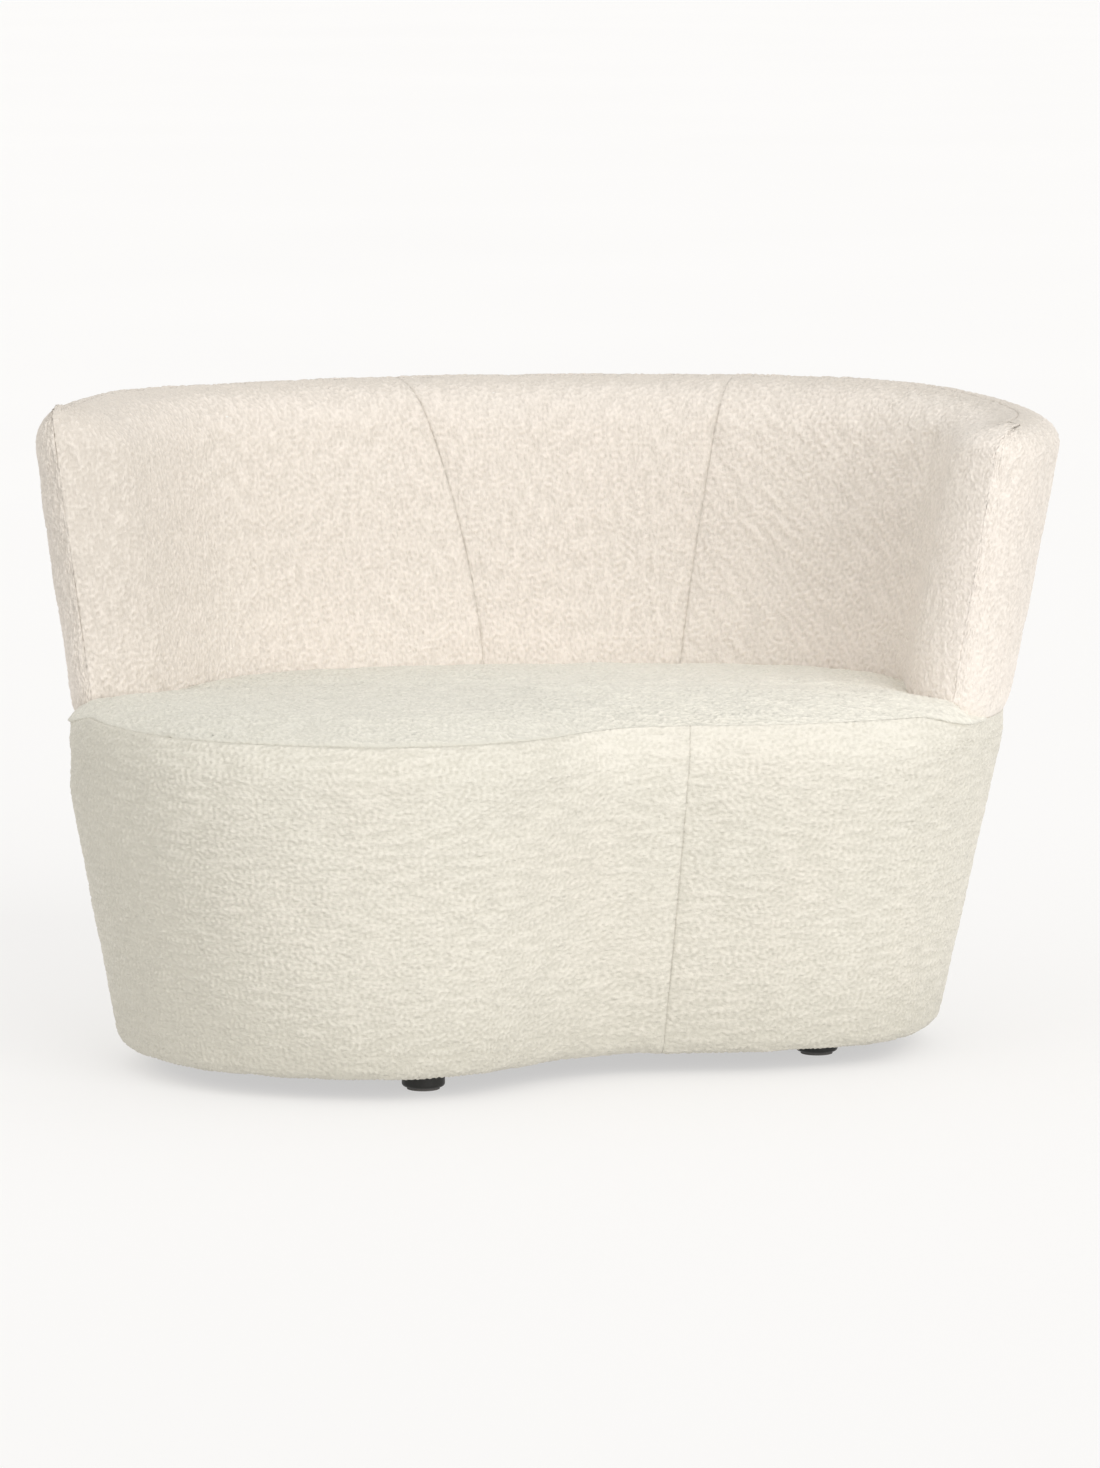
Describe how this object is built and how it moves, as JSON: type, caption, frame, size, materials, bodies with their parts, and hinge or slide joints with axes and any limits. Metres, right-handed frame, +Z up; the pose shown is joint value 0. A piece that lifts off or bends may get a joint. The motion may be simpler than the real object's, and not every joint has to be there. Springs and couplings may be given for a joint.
{
  "type": "loveseat",
  "caption": "Upholstered kidney-shaped loveseat with a wrap-around backrest, looped-pile cover and short round wooden feet.",
  "frame": {"origin": "middle of the plan box, on the floor under the felt glides", "axes": "+X to the right as seen from the front, +Y to the rear, +Z up"},
  "size_m": [1.1966, 0.8505, 0.768],
  "materials": {
    "boucle_back": "looped pile",
    "boucle_seat": "looped pile",
    "boucle_base": "looped pile",
    "lining": "woven matt",
    "felt": "pressed felt",
    "black_wood": "satin black stain",
    "zinc_steel": "zinc plated",
    "plywood": "raw",
    "timber": "raw",
    "bent_board": "raw",
    "webbing": "woven elastic",
    "wadding": "soft",
    "foam": "open cell"
  },
  "bodies": {
    "root": {"foot_glides": "felt", "foot_front_left": "black_wood", "foot_front_right": "black_wood", "foot_back_left": "black_wood", "foot_back_right": "black_wood", "foot_studs": "zinc_steel", "foot_tnuts": "zinc_steel", "dust_cover": "lining", "bottom_board": "plywood", "base_posts": "timber", "webbing_ring": "plywood", "webbing_long": "webbing", "webbing_cross": "webbing", "deck_blocks": "timber", "deck_ring": "plywood", "base_skin": "bent_board", "base_padding": "wadding", "base_cover_front_left": "boucle_base", "base_cover_front_right": "boucle_base", "base_cover_back": "boucle_base", "seat_core": "foam", "seat_topper": "foam", "seat_wadding": "wadding", "seat_cover": "boucle_seat", "back_bottom_rib": "plywood", "back_mid_rib": "plywood", "back_top_rib": "plywood", "back_lower_uprights": "timber", "back_upper_uprights": "timber", "back_skin_inner": "bent_board", "back_skin_outer": "bent_board", "back_foam_inner": "foam", "back_foam_outer": "foam", "back_top_roll": "foam", "arm_front_right": "foam", "arm_front_left": "foam", "back_wadding_inner": "wadding", "back_wadding_outer": "wadding", "back_cover_left": "boucle_back", "back_cover_centre": "boucle_back", "back_cover_right": "boucle_back", "back_cover_outer": "boucle_back", "back_bolts": "zinc_steel", "back_washers": "zinc_steel", "back_tnuts": "zinc_steel"}
  },
  "joints": []
}
